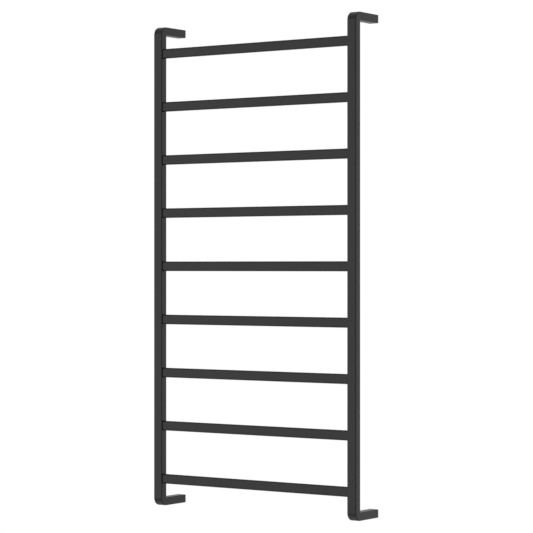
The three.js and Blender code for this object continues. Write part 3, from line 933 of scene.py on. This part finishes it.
class TOWELRACK_OT_wiring(bpy.types.Operator):
    """Finish the terminal block, its screws, the earth tab and lead, and the cable grommet"""
    bl_idname = "towelrack.wiring"
    bl_label = "Wiring"
    bl_options = {"REGISTER", "UNDO"}

    def execute(self, context):
        finish = context.scene.towel_rack_finish
        plated = cast_metal("plated steel", finish.plated, 0.28, 7.0)
        materials = {
            "terminal_block": moulded_plastic("terminal nylon", finish.nylon, 0.4, 3.0),
            "earth_tab": plated,
            "earth_lead": striped_sheath("earth sheath", finish.earth, finish.earth_stripe,
                                         finish.stripe_width),
            "cable_grommet": moulded_rubber("grommet rubber", finish.rubber, 8.0),
        }
        screws = [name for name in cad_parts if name.startswith("terminal_screw_")]
        for name, material in {**materials, **dict.fromkeys(screws, plated)}.items():
            coat(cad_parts[name], material)
        return {"FINISHED"}


class TOWELRACK_OT_stage(bpy.types.Operator):
    """Set up the floor, the soft lights, the plain surroundings and the camera"""
    bl_idname = "towelrack.stage"
    bl_label = "Stage"
    bl_options = {"REGISTER", "UNDO"}

    def execute(self, context):
        stage = context.scene.towel_rack_stage
        context.scene.view_settings.view_transform = "Standard"
        self.surroundings(context.scene, stage)
        self.floor(context.scene, stage)
        self.lights(context.scene)
        self.camera(context.scene, stage)
        return {"FINISHED"}

    def surroundings(self, scene, stage):
        """A plain white room for the eye, whose light on the rack is softer than it looks."""
        world = bpy.data.worlds.new("studio")
        world.use_nodes = True
        scene.world = world
        shader = Shader(world.node_tree)
        seen = shader.node("ShaderNodeLightPath", output="Is Camera Ray")
        white = shader.node("ShaderNodeBackground", None, {"Color": (1, 1, 1, 1), "Strength": 1.0})
        dimmed = {"Color": (1, 1, 1, 1), "Strength": stage.ambient}
        fill = shader.node("ShaderNodeBackground", None, dimmed)
        both = shader.node("ShaderNodeMixShader", None, {0: seen, 1: fill, 2: white})
        shader.node("ShaderNodeOutputWorld", None, {"Surface": both})

    def floor(self, scene, stage):
        """A plain pale floor under the rack, which carries only its shadow."""
        reach = 1.5
        level = RAIL_LOW[2] - stage.floor_drop
        row = np.linspace(-reach, reach, 5)
        grid = np.stack([*np.meshgrid(row, row), np.full((5, 5), level)], axis=-1)
        points, quads = as_part(grid, wrap_columns=False)
        mesh = bpy.data.meshes.new("floor")
        mesh.from_pydata(points.tolist(), [], quads.tolist())
        floor = bpy.data.objects.new("floor", mesh)
        scene.collection.objects.link(floor)
        floor.is_shadow_catcher = True
        floor.visible_diffuse = False
        floor.visible_glossy = False

        def pale(shader):
            dust = shader.noise(shader.place(), 0.2)
            return {"Base Color": shader.mixed(dust, (0.86, 0.86, 0.86, 1), (0.9, 0.9, 0.9, 1)),
                    "Roughness": 0.7}
        mesh.materials.append(surfaced("pale floor", pale))

    def lights(self, scene):
        """The soft boxes of SOFT_BOXES, each facing the middle of the rack."""
        middle = (Vector(CAD_BOX[0]) + Vector(CAD_BOX[1])) / 2
        for name, (bearing, height, distance, width, power) in SOFT_BOXES.items():
            level = math.cos(math.radians(height))
            bearing = math.radians(bearing)
            rise = math.sin(math.radians(height))
            away = Vector((math.sin(bearing) * level, -math.cos(bearing) * level, rise))
            light = bpy.data.lights.new(name, "AREA")
            light.size = width
            light.energy = power
            lamp = bpy.data.objects.new(name, light)
            lamp.location = middle + away * distance
            lamp.rotation_euler = (-away).to_track_quat("-Z", "Y").to_euler()
            lamp.visible_camera = False
            scene.collection.objects.link(lamp)

    def camera(self, scene, stage):
        """A level camera off to the right of the front plane, at half the rack's height."""
        forward = Vector((-math.sin(stage.view_angle), math.cos(stage.view_angle), 0.0))
        right = Vector((math.cos(stage.view_angle), math.sin(stage.view_angle), 0.0))
        data = bpy.data.cameras.new("camera")
        data.lens = stage.lens
        data.clip_end = 100.0
        camera = bpy.data.objects.new("camera", data)
        target = Vector((0.0, FRONT, stage.view_level))
        camera.location = target + right * stage.view_aim - forward * stage.view_distance
        camera.rotation_euler = forward.to_track_quat("-Z", "Y").to_euler()
        scene.collection.objects.link(camera)
        scene.camera = camera


class TOWELRACK_PT_panel(bpy.types.Panel):
    """Lists the rack's sizes, finishes and building steps"""
    bl_idname = "TOWELRACK_PT_panel"
    bl_label = "Towel Warmer Rack"
    bl_space_type = "VIEW_3D"
    bl_region_type = "UI"
    bl_category = "Towel Rack"

    def draw(self, context):
        """One button for each building step, then a box for each group of settings."""
        for operator in STEPS:
            self.layout.operator(operator.bl_idname)
        for settings in (context.scene.towel_rack_sizes, context.scene.towel_rack_finish,
                         context.scene.towel_rack_stage):
            box = self.layout.box()
            for name in settings.__annotations__:
                box.prop(settings, name)


STEPS = (TOWELRACK_OT_stage, TOWELRACK_OT_rails, TOWELRACK_OT_bars, TOWELRACK_OT_collars,
         TOWELRACK_OT_wall_blocks, TOWELRACK_OT_heating, TOWELRACK_OT_wiring)
CLASSES = (TowelRackSizes, TowelRackFinish, TowelRackStage, *STEPS, TOWELRACK_PT_panel)


def register():
    for made in CLASSES:
        bpy.utils.register_class(made)
    bpy.types.Scene.towel_rack_sizes = PointerProperty(type=TowelRackSizes)
    bpy.types.Scene.towel_rack_finish = PointerProperty(type=TowelRackFinish)
    bpy.types.Scene.towel_rack_stage = PointerProperty(type=TowelRackStage)


def unregister():
    del bpy.types.Scene.towel_rack_sizes
    del bpy.types.Scene.towel_rack_finish
    del bpy.types.Scene.towel_rack_stage
    for made in reversed(CLASSES):
        bpy.utils.unregister_class(made)


def main():
    register()
    bpy.ops.towelrack.stage()
    bpy.ops.towelrack.rails()
    bpy.ops.towelrack.bars()
    bpy.ops.towelrack.collars()
    bpy.ops.towelrack.wall_blocks()
    bpy.ops.towelrack.heating()
    bpy.ops.towelrack.wiring()


if __name__ == "__main__":
    main()
